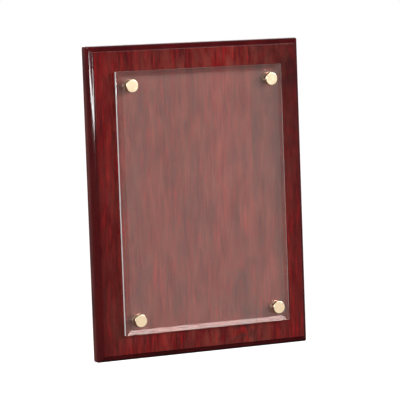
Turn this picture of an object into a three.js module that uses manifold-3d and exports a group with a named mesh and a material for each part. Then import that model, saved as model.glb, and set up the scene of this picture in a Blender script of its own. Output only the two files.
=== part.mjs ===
// A 9 x 12 inch wall plaque: a rosewood-veneered board with a moulded edge, and a bevelled
// glass panel that floats in front of it on four brass standoffs. Millimetres.
//
// Everything is drawn as the plaque hangs: x to the right, y up, z out of the wall, with
// z = 0 on the back face. The last lines turn the whole group so that +Z is up and the
// back face looks along +Y.

import * as THREE from "three";
import { mergeVertices } from "three/addons/utils/BufferGeometryUtils.js";
import Module from "manifold-3d";

const wasm = await Module();
wasm.setup();

// ---- Driving dimensions -------------------------------------------------------------

const INCH = 25.4;

const board = {
  width: 9 * INCH,
  height: 12 * INCH,
  cornerRadius: 1.8,
};
const backSheetThickness = 0.4;
const coreThickness = 14;
const veneerThickness = 0.6;
const veneerSeamX = 0.245 * board.width; // where the two leaves of the face veneer meet

// The moulded edge: an ogee that leaves the side as a steep convex roll, flattens, and
// climbs to the face through a small cove. Slopes are in degrees from the face's plane.
const edge = {
  arris: 0.4,
  rollRadius: 8.2,
  coveRadius: 2.6,
  sideSlope: 78, // where the roll leaves the side
  middleSlope: 25, // where the roll turns into the cove
  faceSlope: 75, // where the cove meets the face
};

const panel = {
  width: 7 * INCH,
  height: 10 * INCH,
  thickness: 5,
  bevelWidth: 5.5,
  bevelDepth: 2,
  holeRadius: 3.5,
};

const standoff = {
  inset: 14, // from the panel's edges to the standoff's axis
  radius: INCH / 4,
  spacerLength: 3,
  capLength: 4,
  capBoreDepth: 3.2,
  capChamfer: 0.6,
  edgeBreak: 0.3,
  washerRadius: 5.5,
  washerThickness: 0.4,
  sleeveRadius: 3.2,
  sleeveLength: 4.2,
};

const screw = {
  radius: 2,
  length: 20,
  tipChamfer: 0.5,
  headRadius: 4,
  headLength: 2.4,
  headRound: 0.9,
  washerRadius: 4.5,
  washerThickness: 0.8,
  holeRadius: 2.25,
  counterboreRadius: 5,
};
const threadClearance = 0.15;

const hanger = {
  length: 46,
  width: 16,
  thickness: 1.5,
  fromEdge: 36, // from the board's edge to the plate's middle
  entryRadius: 4.75,
  neckHalfWidth: 2.5,
  keyholeTravel: 11, // from the entry hole's middle to the end of the neck
  screwSpacing: 36,
  recessClearance: 0.3,
  pocket: { length: 27, width: 13, depth: 9 },
};
const woodScrew = { radius: 1.4, headRadius: 2.7, length: 10, clearance: 0.2 };

// ---- Places along z, worked out from the dimensions -----------------------------------

const faceZ = backSheetThickness + coreThickness + veneerThickness;
const spacerTopZ = faceZ + standoff.spacerLength;
const glassBackZ = spacerTopZ + standoff.washerThickness;
const glassFrontZ = glassBackZ + panel.thickness;
const capBackZ = glassFrontZ + standoff.washerThickness;
const screwTipGap = 0.3;
const screwTipZ = capBackZ + standoff.capBoreDepth - screwTipGap;
const headUndersideZ = screwTipZ - screw.length;
const counterboreZ = headUndersideZ + screw.washerThickness;

const corners = [
  ["top_left", -1, 1],
  ["top_right", 1, 1],
  ["bottom_left", -1, -1],
  ["bottom_right", 1, -1],
].map(([name, sideX, sideY]) => ({
  name,
  x: sideX * (panel.width / 2 - standoff.inset),
  y: sideY * (panel.height / 2 - standoff.inset),
}));

// The keyhole hangers: one for hanging the plaque upright, one for hanging it sideways.
// turn is the direction of the neck, counted from straight up.
const hangers = [
  { name: "top", x: 0, y: board.height / 2 - hanger.fromEdge, turn: 0 },
  { name: "side", x: board.width / 2 - hanger.fromEdge, y: 0, turn: -Math.PI / 2 },
];

// ---- Materials --------------------------------------------------------------------------

const finish = (color, roughness, metalness = 0) =>
  new THREE.MeshStandardMaterial({ color, roughness, metalness });

const rosewoodMaterial = finish(0x7a2226, 0.12);
const stainedCoreMaterial = finish(0x4a1a1c, 0.15);
const backSheetMaterial = finish(0x1c1716, 0.6);
const brassMaterial = finish(0xe6c56e, 0.12, 1);
const steelMaterial = finish(0xb9bcc0, 0.3, 1);
const zincMaterial = finish(0xd0c08c, 0.35, 1);
const nylonMaterial = finish(0xe9e9e4, 0.35);
const glassMaterial = new THREE.MeshStandardMaterial({
  color: 0xeef6f4,
  roughness: 0.02,
  transparent: true,
  opacity: 0.3,
});

// ---- Solid helpers ----------------------------------------------------------------------

function toSolid(geometry) {
  const bare = geometry.clone();
  bare.deleteAttribute("normal");
  bare.deleteAttribute("uv");
  const merged = mergeVertices(bare, 1e-4);
  return new wasm.Manifold(
    new wasm.Mesh({
      numProp: 3,
      vertProperties: merged.attributes.position.array,
      triVerts: new Uint32Array(merged.index.array),
    }),
  );
}

function toGeometry(solid) {
  const { vertProperties, triVerts } = solid.getMesh();
  const geometry = new THREE.BufferGeometry();
  geometry.setAttribute("position", new THREE.BufferAttribute(vertProperties, 3));
  geometry.setIndex(new THREE.BufferAttribute(triVerts, 1));
  geometry.computeVertexNormals();
  return geometry;
}

const cut = (geometry, cutters) =>
  toGeometry(
    cutters.reduce((solid, cutter) => solid.subtract(toSolid(cutter)), toSolid(geometry)),
  );

// A flat piece of that outline, from z = low to z = high.
function slab(shape, low, high, curveSegments = 8) {
  const depth = high - low;
  const geometry = new THREE.ExtrudeGeometry(shape, {
    depth,
    bevelEnabled: false,
    curveSegments,
  });
  return geometry.translate(0, 0, low);
}

// A turned piece on the z axis. The profile is [radius, z] pairs: it starts and ends on
// the axis, or closes on itself.
function turned(profile, segments = 24) {
  const points = profile.map(([radius, z]) => new THREE.Vector2(radius, z));
  return new THREE.LatheGeometry(points, segments).rotateX(Math.PI / 2);
}

const rod = (radius, low, high, segments = 24) =>
  turned(
    [
      [0, low],
      [radius, low],
      [radius, high],
      [0, high],
    ],
    segments,
  );

const ring = (inner, outer, low, high, segments = 24) =>
  turned(
    [
      [inner, low],
      [outer, low],
      [outer, high],
      [inner, high],
      [inner, low],
    ],
    segments,
  );

function rectangle(left, right, bottom, top, radius = 0) {
  const shape = new THREE.Shape();
  if (!radius) {
    shape.moveTo(left, bottom);
    shape.lineTo(right, bottom);
    shape.lineTo(right, top);
    shape.lineTo(left, top);
    shape.closePath();
    return shape;
  }
  shape.moveTo(left + radius, bottom);
  shape.absarc(right - radius, bottom + radius, radius, -Math.PI / 2, 0);
  shape.absarc(right - radius, top - radius, radius, 0, Math.PI / 2);
  shape.absarc(left + radius, top - radius, radius, Math.PI / 2, Math.PI);
  shape.absarc(left + radius, bottom + radius, radius, Math.PI, 1.5 * Math.PI);
  shape.closePath();
  return shape;
}

// The four cutters that run a profile along the sides of a rectangle. The profile is
// drawn with its x as the distance inwards from the side and its y as z.
function sideCutters(profile, width, height) {
  const overrun = 20;
  const up = new THREE.Vector3(0, 0, 1);
  const sides = [
    [new THREE.Vector3(1, 0, 0), width / 2, height],
    [new THREE.Vector3(-1, 0, 0), width / 2, height],
    [new THREE.Vector3(0, 1, 0), height / 2, width],
    [new THREE.Vector3(0, -1, 0), height / 2, width],
  ];
  return sides.map(([inwards, half, length]) => {
    const along = new THREE.Vector3().crossVectors(inwards, up);
    const place = new THREE.Matrix4().makeBasis(inwards, up, along);
    place.setPosition(
      inwards
        .clone()
        .multiplyScalar(-half)
        .addScaledVector(along, -length / 2 - overrun),
    );
    const depth = length + 2 * overrun;
    const bar = new THREE.ExtrudeGeometry(profile, {
      depth,
      bevelEnabled: false,
      curveSegments: 7,
    });
    return bar.applyMatrix4(place);
  });
}

// ---- The board --------------------------------------------------------------------------

const radians = THREE.MathUtils.degToRad;

// What the moulding cutter takes away, seen along a side of the board.
function mouldingCutter() {
  const clear = 12; // how far the cutter stands clear of the board
  const { arris, rollRadius, coveRadius } = edge;
  const side = radians(edge.sideSlope);
  const middle = radians(edge.middleSlope);
  const face = radians(edge.faceSlope);
  const coveRise = coveRadius * (Math.cos(middle) - Math.cos(face));
  const rollRise = rollRadius * (Math.cos(middle) - Math.cos(side));
  const rollRun = rollRadius * (Math.sin(side) - Math.sin(middle));
  const coveRun = coveRadius * (Math.sin(face) - Math.sin(middle));
  const middleZ = faceZ - coveRise;
  const startZ = middleZ - rollRise;
  const middleX = arris + rollRun;

  // The roll's centre is inside the wood and the cove's is out in the air.
  const rollCentreX = middleX + rollRadius * Math.sin(middle);
  const rollCentreZ = middleZ - rollRadius * Math.cos(middle);
  const coveCentreX = middleX - coveRadius * Math.sin(middle);
  const coveCentreZ = middleZ + coveRadius * Math.cos(middle);
  const quarter = Math.PI / 2;
  const shape = new THREE.Shape();
  shape.moveTo(-clear, startZ - arris);
  shape.lineTo(0, startZ - arris);
  shape.lineTo(arris, startZ);
  shape.absarc(rollCentreX, rollCentreZ, rollRadius, side + quarter, middle + quarter, true);
  shape.absarc(coveCentreX, coveCentreZ, coveRadius, middle - quarter, face - quarter);
  shape.lineTo(middleX + coveRun, faceZ + clear);
  shape.lineTo(-clear, faceZ + clear);
  shape.closePath();
  return shape;
}

const outline = rectangle(
  -board.width / 2,
  board.width / 2,
  -board.height / 2,
  board.height / 2,
  board.cornerRadius,
);
const mouldingCutters = sideCutters(mouldingCutter(), board.width, board.height);

const overcut = 2; // how far a drill or cutter runs past the surface it breaks through

const screwHoles = corners.map(({ x, y }) =>
  rod(screw.holeRadius, -overcut, faceZ + overcut).translate(x, y, 0),
);
const counterbores = corners.map(({ x, y }) =>
  rod(screw.counterboreRadius, -overcut, counterboreZ).translate(x, y, 0),
);

// Draws a hanger's own shape round the origin with its neck upwards, and carries it to
// where that hanger sits.
const atHanger = (geometry, place) =>
  geometry.rotateZ(place.turn).translate(place.x, place.y, 0);

// The screws sit at the plate's two ends.
const hangerScrewOffsets = [
  ["lower", -hanger.screwSpacing / 2],
  ["upper", hanger.screwSpacing / 2],
];

const plateOutline = (grow) =>
  rectangle(
    -hanger.width / 2 - grow,
    hanger.width / 2 + grow,
    -hanger.length / 2 - grow,
    hanger.length / 2 + grow,
    hanger.width / 4,
  );

const plateRecesses = hangers.map((place) =>
  atHanger(slab(plateOutline(hanger.recessClearance), -overcut, hanger.thickness), place),
);

const keyholePockets = hangers.map((place) => {
  const { length, width, depth } = hanger.pocket;
  const pocket = rectangle(-width / 2, width / 2, -length / 2, length / 2, width / 3);
  return atHanger(slab(pocket, -overcut, depth), place);
});

const pilotHoles = hangers.flatMap((place) =>
  hangerScrewOffsets.map(([, offset]) => {
    const { radius, length, clearance } = woodScrew;
    const pilot = rod(radius + clearance, -overcut, length + 2 * clearance, 16);
    return atHanger(pilot.translate(0, offset, 0), place);
  }),
);

function makeBoardCore() {
  const blank = slab(outline, backSheetThickness, backSheetThickness + coreThickness);
  return cut(blank, [
    ...mouldingCutters,
    ...screwHoles,
    ...counterbores,
    ...plateRecesses,
    ...keyholePockets,
    ...pilotHoles,
  ]);
}

// One leaf of the face veneer, from x = left to x = right.
function makeVeneer(left, right) {
  const half = board.height / 2;
  const leaf = rectangle(left, right, -half, half);
  const blank = slab(leaf, faceZ - veneerThickness, faceZ);
  const holes = screwHoles.filter((_, i) => corners[i].x > left && corners[i].x < right);
  return cut(blank, [...mouldingCutters, ...holes]);
}

function makeBackSheet() {
  const margin = 1;
  const sheet = rectangle(
    -board.width / 2 + margin,
    board.width / 2 - margin,
    -board.height / 2 + margin,
    board.height / 2 - margin,
    board.cornerRadius,
  );
  return cut(slab(sheet, 0, backSheetThickness), [...counterbores, ...plateRecesses]);
}

// ---- The glass panel --------------------------------------------------------------------

function makeGlassPanel() {
  const { width, height, bevelWidth, bevelDepth, holeRadius } = panel;
  const blank = slab(
    rectangle(-width / 2, width / 2, -height / 2, height / 2),
    glassBackZ,
    glassFrontZ,
  );
  // The bevel's plane, carried on past both of its edges.
  const run = 4;
  const rise = (run * bevelDepth) / bevelWidth;
  const bevel = new THREE.Shape();
  bevel.moveTo(-run, glassFrontZ - bevelDepth - rise);
  bevel.lineTo(bevelWidth + run, glassFrontZ + rise);
  bevel.lineTo(-run, glassFrontZ + rise);
  bevel.closePath();
  const holes = corners.map(({ x, y }) =>
    rod(holeRadius, glassBackZ - overcut, glassFrontZ + overcut).translate(x, y, 0),
  );
  return cut(blank, [...sideCutters(bevel, width, height), ...holes]);
}

// ---- A standoff, drawn on its own axis at z = 0 and up ------------------------------------

function makeCap() {
  const { radius, capLength, capBoreDepth, capChamfer, edgeBreak } = standoff;
  const bore = screw.radius + threadClearance;
  return turned(
    [
      [bore, 0],
      [radius - edgeBreak, 0],
      [radius, edgeBreak],
      [radius, capLength - capChamfer],
      [radius - capChamfer, capLength],
      [0, capLength],
      [0, capBoreDepth],
      [bore, capBoreDepth],
      [bore, 0],
    ],
    28,
  );
}

// A top-hat bush: its flange keeps the cap off the glass, its sleeve the screw.
function makeBush() {
  const { washerRadius, washerThickness, sleeveRadius, sleeveLength } = standoff;
  const bore = screw.radius + threadClearance;
  return turned([
    [bore, -sleeveLength],
    [sleeveRadius, -sleeveLength],
    [sleeveRadius, 0],
    [washerRadius, 0],
    [washerRadius, washerThickness],
    [bore, washerThickness],
    [bore, -sleeveLength],
  ]);
}

function makeSpacer() {
  const { radius, spacerLength, edgeBreak } = standoff;
  return turned(
    [
      [screw.holeRadius, 0],
      [radius - edgeBreak, 0],
      [radius, edgeBreak],
      [radius, spacerLength - edgeBreak],
      [radius - edgeBreak, spacerLength],
      [screw.holeRadius, spacerLength],
      [screw.holeRadius, 0],
    ],
    28,
  );
}

const makeRearWasher = () =>
  ring(screw.holeRadius, standoff.washerRadius, 0, standoff.washerThickness);

const makeScrewWasher = () =>
  ring(screw.holeRadius, screw.washerRadius, 0, screw.washerThickness);

// A cross recess of that width, depth and arm, sunk from the head's top at z = top.
function crossRecess(arm, width, top, depth) {
  const bar = (length, across) =>
    new THREE.BoxGeometry(length, across, depth + overcut).translate(
      0,
      0,
      top + (overcut - depth) / 2 - overcut,
    );
  return [bar(arm, width), bar(width, arm)];
}

// A pan-head machine screw: the head hangs below z = 0 and the shank stands above it.
function makeScrew() {
  const { radius, length, tipChamfer, headRadius, headLength, headRound } = screw;
  const recessDepth = 1.5;
  const blank = turned([
    [0, -headLength],
    [headRadius - headRound, -headLength],
    [headRadius - 0.3 * headRound, -headLength + 0.3 * headRound],
    [headRadius, -headLength + headRound],
    [headRadius, 0],
    [radius, 0],
    [radius, length - tipChamfer],
    [radius - tipChamfer, length],
    [0, length],
  ]);
  return cut(blank, crossRecess(3.6, 0.8, -headLength + recessDepth, recessDepth));
}

// ---- The hangers --------------------------------------------------------------------------

const headSinkDepth = woodScrew.headRadius - woodScrew.radius;

function makeHangerPlate(place) {
  const { entryRadius, neckHalfWidth, keyholeTravel, thickness } = hanger;
  const { radius, headRadius, clearance } = woodScrew;
  const shape = plateOutline(0);
  const entryY = -keyholeTravel / 2;
  const endY = entryY + keyholeTravel;
  const neckAngle = Math.acos(neckHalfWidth / entryRadius);
  const keyhole = new THREE.Path();
  keyhole.absarc(0, entryY, entryRadius, Math.PI - neckAngle, 2 * Math.PI + neckAngle);
  keyhole.absarc(0, endY, neckHalfWidth, 0, Math.PI);
  keyhole.closePath();
  shape.holes.push(keyhole);
  const countersinks = hangerScrewOffsets.map(([, offset]) =>
    turned(
      [
        [0, -overcut],
        [headRadius + clearance, -overcut],
        [headRadius + clearance, 0],
        [radius + clearance, headSinkDepth],
        [radius + clearance, thickness + overcut],
        [0, thickness + overcut],
      ],
      16,
    ).translate(0, offset, 0),
  );
  return atHanger(cut(slab(shape, 0, thickness, 9), countersinks), place);
}

// A countersunk wood screw with its head at z = 0 and its point towards the board's face.
function makeHangerScrew(place, offset) {
  const { radius, headRadius, length } = woodScrew;
  const blank = turned(
    [
      [0, 0],
      [headRadius, 0],
      [radius, headSinkDepth],
      [radius, length - 2 * radius],
      [0, length],
    ],
    16,
  );
  const recessDepth = 0.9;
  const driven = cut(blank, crossRecess(2.4, 0.6, recessDepth, recessDepth));
  return atHanger(driven.translate(0, offset, 0), place);
}

// ---- Assembly -------------------------------------------------------------------------------

function piece(name, geometry, material, x = 0, y = 0, z = 0) {
  const mesh = new THREE.Mesh(geometry, material);
  mesh.name = name;
  mesh.position.set(x, y, z);
  return mesh;
}

const boardAssembly = new THREE.Group();
boardAssembly.add(
  piece("board_core", makeBoardCore(), stainedCoreMaterial),
  piece("veneer_main", makeVeneer(-board.width / 2, veneerSeamX), rosewoodMaterial),
  piece("veneer_side", makeVeneer(veneerSeamX, board.width / 2), rosewoodMaterial),
  piece("back_sheet", makeBackSheet(), backSheetMaterial),
);

const standoffAssembly = new THREE.Group();
for (const { name, x, y } of corners) {
  standoffAssembly.add(
    piece(`cap_${name}`, makeCap(), brassMaterial, x, y, capBackZ),
    piece(`bush_${name}`, makeBush(), nylonMaterial, x, y, glassFrontZ),
    piece(`rear_washer_${name}`, makeRearWasher(), nylonMaterial, x, y, spacerTopZ),
    piece(`spacer_${name}`, makeSpacer(), brassMaterial, x, y, faceZ),
    piece(`screw_washer_${name}`, makeScrewWasher(), steelMaterial, x, y, headUndersideZ),
    piece(`screw_${name}`, makeScrew(), steelMaterial, x, y, headUndersideZ),
  );
}

const hangerAssembly = new THREE.Group();
for (const place of hangers) {
  const plateName = `hanger_plate_${place.name}`;
  hangerAssembly.add(piece(plateName, makeHangerPlate(place), steelMaterial));
  for (const [end, offset] of hangerScrewOffsets) {
    const screwName = `hanger_screw_${place.name}_${end}`;
    hangerAssembly.add(piece(screwName, makeHangerScrew(place, offset), zincMaterial));
  }
}

const plaque = new THREE.Group();
plaque.add(boardAssembly, piece("glass_panel", makeGlassPanel(), glassMaterial));
plaque.add(standoffAssembly, hangerAssembly);
plaque.rotation.x = Math.PI / 2;

export default plaque;
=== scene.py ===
from contextlib import contextmanager
from math import cos, pi, radians, sin, tan

import bmesh
import bpy
from mathutils import Matrix, Vector


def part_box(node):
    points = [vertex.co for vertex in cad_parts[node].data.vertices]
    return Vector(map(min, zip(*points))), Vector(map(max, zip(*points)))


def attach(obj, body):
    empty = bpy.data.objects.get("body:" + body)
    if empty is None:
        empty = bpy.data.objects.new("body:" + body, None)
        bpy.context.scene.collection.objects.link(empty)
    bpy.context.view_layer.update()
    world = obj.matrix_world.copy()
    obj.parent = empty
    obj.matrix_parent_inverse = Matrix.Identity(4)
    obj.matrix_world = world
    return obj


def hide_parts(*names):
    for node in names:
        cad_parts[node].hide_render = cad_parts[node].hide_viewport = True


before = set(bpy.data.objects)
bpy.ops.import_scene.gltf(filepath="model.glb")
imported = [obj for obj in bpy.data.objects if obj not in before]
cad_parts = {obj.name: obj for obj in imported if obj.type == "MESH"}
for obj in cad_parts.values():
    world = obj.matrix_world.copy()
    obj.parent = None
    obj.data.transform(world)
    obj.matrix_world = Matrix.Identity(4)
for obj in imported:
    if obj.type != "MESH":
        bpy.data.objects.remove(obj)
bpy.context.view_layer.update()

scene = bpy.context.scene
MM = 0.001

# ---- Camera ----------------------------------------------------------------------------
# A long lens, to the plaque's left and a little above its middle, held very slightly
# turned about its own axis.

camera_place = Vector((-1.0058, -2.1070, 0.1928))
camera_aim = Vector((-0.0017, -0.0150, -0.0019))
camera_roll = radians(-2.07)

camera_data = bpy.data.cameras.new("camera")
camera_data.sensor_width = 36
camera_data.lens = 214.8
camera = bpy.data.objects.new("camera", camera_data)
scene.collection.objects.link(camera)
towards = (camera_aim - camera_place).to_track_quat("-Z", "Y").to_matrix()
turned_view = towards @ Matrix.Rotation(camera_roll, 3, "Z")
camera.matrix_world = Matrix.Translation(camera_place) @ turned_view.to_4x4()
scene.camera = camera
scene.view_settings.view_transform = "Standard"

# ---- The moulded board: its shape ------------------------------------------------------
# Fibreboard, cut with an ogee round all four sides after the face veneer has gone on, then
# stained dark red and sprayed with the same thick gloss lacquer as the face. The blank made
# here is cut into the core and the two leaves of veneer, so that the ogee runs through all.

core_low, core_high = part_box("board_core")
veneer_low, veneer_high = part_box("veneer_main")
core_back_y = core_high.y
glue_y = core_low.y
face_y = veneer_low.y
seam_x = veneer_high.x
board_half_width = core_high.x
board_half_height = core_high.z

ROLL_RADIUS = 8.2 * MM
COVE_RADIUS = 2.6 * MM
ARRIS_RADIUS = 0.5 * MM
SIDE_SLOPE, MIDDLE_SLOPE, TOP_SLOPE = radians(78), radians(25), radians(75)
CORNER_ROUND = 1.8 * MM
MITRE_ROUND = 0.25 * MM


def work_on(piece):
    """Makes this piece the only selected one, and the active one."""
    bpy.ops.object.select_all(action="DESELECT")
    piece.select_set(True)
    bpy.context.view_layer.objects.active = piece


@contextmanager
def edit_mode(piece):
    """Edits the piece's mesh; nothing of it is selected at first."""
    work_on(piece)
    bpy.ops.object.mode_set(mode="EDIT")
    bpy.ops.mesh.select_all(action="DESELECT")
    yield bmesh.from_edit_mesh(piece.data)
    bpy.ops.object.mode_set(mode="OBJECT")


def select(mesh, kind, wanted):
    """Selects the faces, edges or verts of an edited mesh that are wanted, and no others."""
    modes = {"faces": "FACE", "edges": "EDGE", "verts": "VERT"}
    bpy.ops.mesh.select_mode(type=modes[kind])
    bpy.ops.mesh.select_all(action="DESELECT")
    for part in getattr(mesh, kind):
        if wanted(part):
            part.select_set(True)
    mesh.select_flush_mode()


def runs_along_y(edge):
    return abs((edge.verts[0].co - edge.verts[1].co).normalized().y) > 0.99


def add_block(name, low, high, corner_round=0):
    """A block from corner to corner, with the edges that run along Y rounded."""
    bpy.ops.object.select_all(action="DESELECT")
    low, high = Vector(low), Vector(high)
    bpy.ops.mesh.primitive_cube_add(size=1, location=(low + high) / 2, scale=high - low)
    block = bpy.context.object
    block.name = name
    bpy.ops.object.transform_apply(location=True, rotation=True, scale=True)
    if corner_round:
        with edit_mode(block) as mesh:
            select(mesh, "edges", runs_along_y)
            bpy.ops.mesh.bevel(offset=corner_round, segments=8, affect="EDGES")
    return block


def arc_steps(radius, start, end, count):
    """(run inwards, rise) steps along an arc whose slope goes from start to end."""
    slopes = [start + (end - start) * i / count for i in range(count + 1)]
    return [
        (radius * abs(sin(b) - sin(a)), radius * abs(cos(b) - cos(a)))
        for a, b in zip(slopes, slopes[1:])
    ]


def apply_modifier(piece, kind, **settings):
    work_on(piece)
    bpy.ops.object.modifier_add(type=kind)
    modifier = piece.modifiers[-1]
    for name, value in settings.items():
        setattr(modifier, name, value)
    bpy.ops.object.modifier_apply(modifier=modifier.name)


def cut(piece, cutter, operation="DIFFERENCE"):
    apply_modifier(piece, "BOOLEAN", object=cutter, operation=operation, solver="EXACT")
    bpy.data.objects.remove(cutter)


def copy_of(piece, name, offset=(0, 0, 0)):
    """A copy with a mesh of its own, carried to its own place."""
    made = piece.copy()
    made.data = piece.data.copy()
    made.data.transform(Matrix.Translation(offset))
    made.name = name
    scene.collection.objects.link(made)
    return made


def keep_beyond(piece, point, direction):
    """Cuts the piece by a plane and keeps what lies beyond it, closed."""
    with edit_mode(piece):
        bpy.ops.mesh.select_all(action="SELECT")
        bpy.ops.mesh.bisect(
            plane_co=point, plane_no=direction, use_fill=True, clear_inner=True
        )


SHARP_ANGLE = 32  # degrees


def finish_shape(piece, break_edges=0, smooth=SHARP_ANGLE):
    """Breaks the sharp edges, smooths the curves and keeps the flats flat."""
    if break_edges:
        apply_modifier(
            piece,
            "BEVEL",
            width=break_edges,
            segments=2,
            limit_method="ANGLE",
            angle_limit=radians(SHARP_ANGLE),
            use_clamp_overlap=True,
            miter_outer="MITER_ARC",
        )
    work_on(piece)
    bpy.ops.object.shade_smooth_by_angle(angle=radians(smooth))
    apply_modifier(piece, "WEIGHTED_NORMAL", keep_sharp=True, weight=100)


ogee = (
    arc_steps(ROLL_RADIUS, SIDE_SLOPE, MIDDLE_SLOPE, 14)
    + arc_steps(COVE_RADIUS, MIDDLE_SLOPE, TOP_SLOPE, 12)
    + arc_steps(ARRIS_RADIUS, TOP_SLOPE, 0, 5)
)
moulding_start_y = face_y + sum(rise for _, rise in ogee)

board_blank = add_block(
    "board_blank",
    (-board_half_width, moulding_start_y, -board_half_height),
    (board_half_width, core_back_y, board_half_height),
    CORNER_ROUND,
)
with edit_mode(board_blank) as mesh:
    select(mesh, "faces", lambda face: face.normal.y < -0.9)
    half_width, half_height, y = board_half_width, board_half_height, moulding_start_y
    corner = CORNER_ROUND
    for run, rise in ogee:
        # The corners tighten as the moulding steps in, down to the lacquered mitre.
        y -= rise
        if corner - run > MITRE_ROUND:
            corner -= run
            bpy.ops.mesh.inset(thickness=run, depth=rise)
        else:
            bpy.ops.mesh.extrude_region_move(
                TRANSFORM_OT_translate={"value": (0, -rise, 0)}
            )
            narrower, lower = 1 - run / half_width, 1 - run / half_height
            bpy.ops.transform.resize(
                value=(narrower, 1, lower), center_override=(0, y, 0)
            )
        half_width -= run
        half_height -= run

moulded_core = copy_of(board_blank, "moulded_core")
keep_beyond(moulded_core, (0, glue_y, 0), (0, 1, 0))

# ---- The stain and the gloss lacquer ---------------------------------------------------
# Both the core and the veneer are stained dark red, filled, and sprayed with polyester that
# is buffed to a piano gloss. The finish has a faint orange peel, dust nibs under it, a
# little haze from wiping, and rubs a shade lighter along the arrises.


def add_node(tree, kind, inputs=None, **settings):
    """Adds a shader node; each input is given a value, or is joined to a socket."""
    node = tree.nodes.new("ShaderNode" + kind)
    for name, value in settings.items():
        setattr(node, name, value)
    for name, value in (inputs or {}).items():
        if isinstance(value, bpy.types.NodeSocket):
            tree.links.new(value, node.inputs[name])
        else:
            node.inputs[name].default_value = value
    return node


def new_group(name, inputs, outputs):
    """A node group, and its own ends: what it is given and what it gives back."""
    tree = bpy.data.node_groups.new(name, "ShaderNodeTree")
    for socket, kind, value in inputs:
        made = tree.interface.new_socket(
            socket, in_out="INPUT", socket_type="NodeSocket" + kind
        )
        if value is not None:
            made.default_value = value
    for socket, kind in outputs:
        tree.interface.new_socket(
            socket, in_out="OUTPUT", socket_type="NodeSocket" + kind
        )
    given = tree.nodes.new("NodeGroupInput").outputs
    result = tree.nodes.new("NodeGroupOutput").inputs
    return tree, given, result


def calculate(tree, operation, a, b=0.0):
    return add_node(tree, "Math", {0: a, 1: b}, operation=operation).outputs[0]


def remap(tree, value, low, high, to_low=0.0, to_high=1.0):
    """Runs smoothly from to_low to to_high as the value goes from low to high."""
    limits = {"From Min": low, "From Max": high, "To Min": to_low, "To Max": to_high}
    node = add_node(
        tree, "MapRange", {"Value": value, **limits}, interpolation_type="SMOOTHSTEP"
    )
    return node.outputs[0]


def mix(tree, factor, a, b):
    return add_node(tree, "Mix", {0: factor, 6: a, 7: b}, data_type="RGBA").outputs[2]


def weigh(tree, *terms):
    """Adds up values, each given with its share."""
    total, *others = [calculate(tree, "MULTIPLY", value, share) for value, share in terms]
    for part in others:
        total = calculate(tree, "ADD", total, part)
    return total


def noise(tree, vector, per_metre, detail=3.0, roughness=0.5, bend=0.0):
    """Noise with that many features to a metre along x, y and z."""
    placed = add_node(tree, "Mapping", {"Vector": vector, "Scale": per_metre})
    node = add_node(
        tree,
        "TexNoise",
        {
            "Vector": placed.outputs[0],
            "Scale": 1.0,
            "Detail": detail,
            "Roughness": roughness,
            "Distortion": bend,
        },
    )
    return node.outputs["Fac"]


def colours(tree, value, *stops):
    """A colour for a value from 0 to 1, from (place, red, green, blue) stops."""
    node = add_node(tree, "ValToRGB", {"Fac": value})
    ramp = node.color_ramp
    while len(ramp.elements) < len(stops):
        ramp.elements.new(1)
    for element, (place, *colour) in zip(ramp.elements, stops):
        element.position = place
        element.color = (*colour, 1)
    return node.outputs["Color"]


# The film of lacquer itself, the same on every wooden piece.
lacquer, given, result = new_group(
    "lacquer_film",
    [("Colour", "Color", None), ("Worn Edge", "Float", 0.0), ("Grain", "Float", 0.5)],
    [("Colour", "Color"), ("Roughness", "Float"), ("Height", "Float")],
)
here = add_node(lacquer, "TexCoord").outputs["Object"]
peel = noise(lacquer, here, (260, 260, 260), detail=1.5)
haze = noise(lacquer, here, (14, 14, 22), detail=4, roughness=0.6, bend=0.5)
wiping = noise(lacquer, here, (90, 90, 30), detail=5, roughness=0.65)
nibs = noise(lacquer, here, (1700, 1700, 1700), detail=1)
nibs = remap(lacquer, nibs, 0.80, 0.86)
rub = calculate(lacquer, "MULTIPLY", given["Worn Edge"], remap(lacquer, wiping, 0.3, 0.75))
rubbed = calculate(lacquer, "MULTIPLY", rub, 0.55)
lighter = mix(lacquer, rubbed, given["Colour"], (0.3, 0.07, 0.05, 1))
dusty = mix(lacquer, calculate(lacquer, "MULTIPLY", nibs, 0.25), lighter, (0.42, 0.36, 0.33, 1))
lacquer.links.new(dusty, result["Colour"])
marks = weigh(lacquer, (haze, 0.04), (wiping, 0.03), (rub, 0.14), (nibs, 0.2))
lacquer.links.new(calculate(lacquer, "ADD", marks, 0.02), result["Roughness"])
film_height = weigh(lacquer, (peel, 0.3), (nibs, 0.5), (given["Grain"], 0.12))
lacquer.links.new(film_height, result["Height"])


def new_material(name, **settings):
    """A material, its node tree and its surface, whose plain sockets are set here."""
    material = bpy.data.materials.new(name)
    material.use_nodes = True
    tree = material.node_tree
    surface = tree.nodes["Principled BSDF"]
    for socket, value in settings.items():
        surface.inputs[socket.replace("_", " ")].default_value = value
    return material, tree, surface


FULLY_WORN = 40  # degrees that the surface turns at an edge rubbed right through


def mark_worn_edges(piece):
    """Gives each vertex how far the surface turns outwards there, from 0 to 1."""
    mesh = bmesh.new()
    mesh.from_mesh(piece.data)
    turn = [
        max((edge.calc_face_angle_signed(0) for edge in vertex.link_edges), default=0)
        for vertex in mesh.verts
    ]
    mesh.free()
    worn = piece.data.attributes.new("worn_edge", "FLOAT", "POINT")
    worn.data.foreach_set("value", [min(1.0, max(0.0, a / radians(FULLY_WORN))) for a in turn])


def coat(piece, material):
    """Gives the piece this finish and no other."""
    piece.data.materials.clear()
    piece.data.materials.append(material)


def finish(piece, material, break_edges=0.0):
    """Finishes the shape of a piece and gives it its finish."""
    finish_shape(piece, break_edges)
    mark_worn_edges(piece)
    coat(piece, material)


def worn_edge(tree):
    return add_node(tree, "Attribute", attribute_name="worn_edge").outputs["Fac"]


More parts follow.
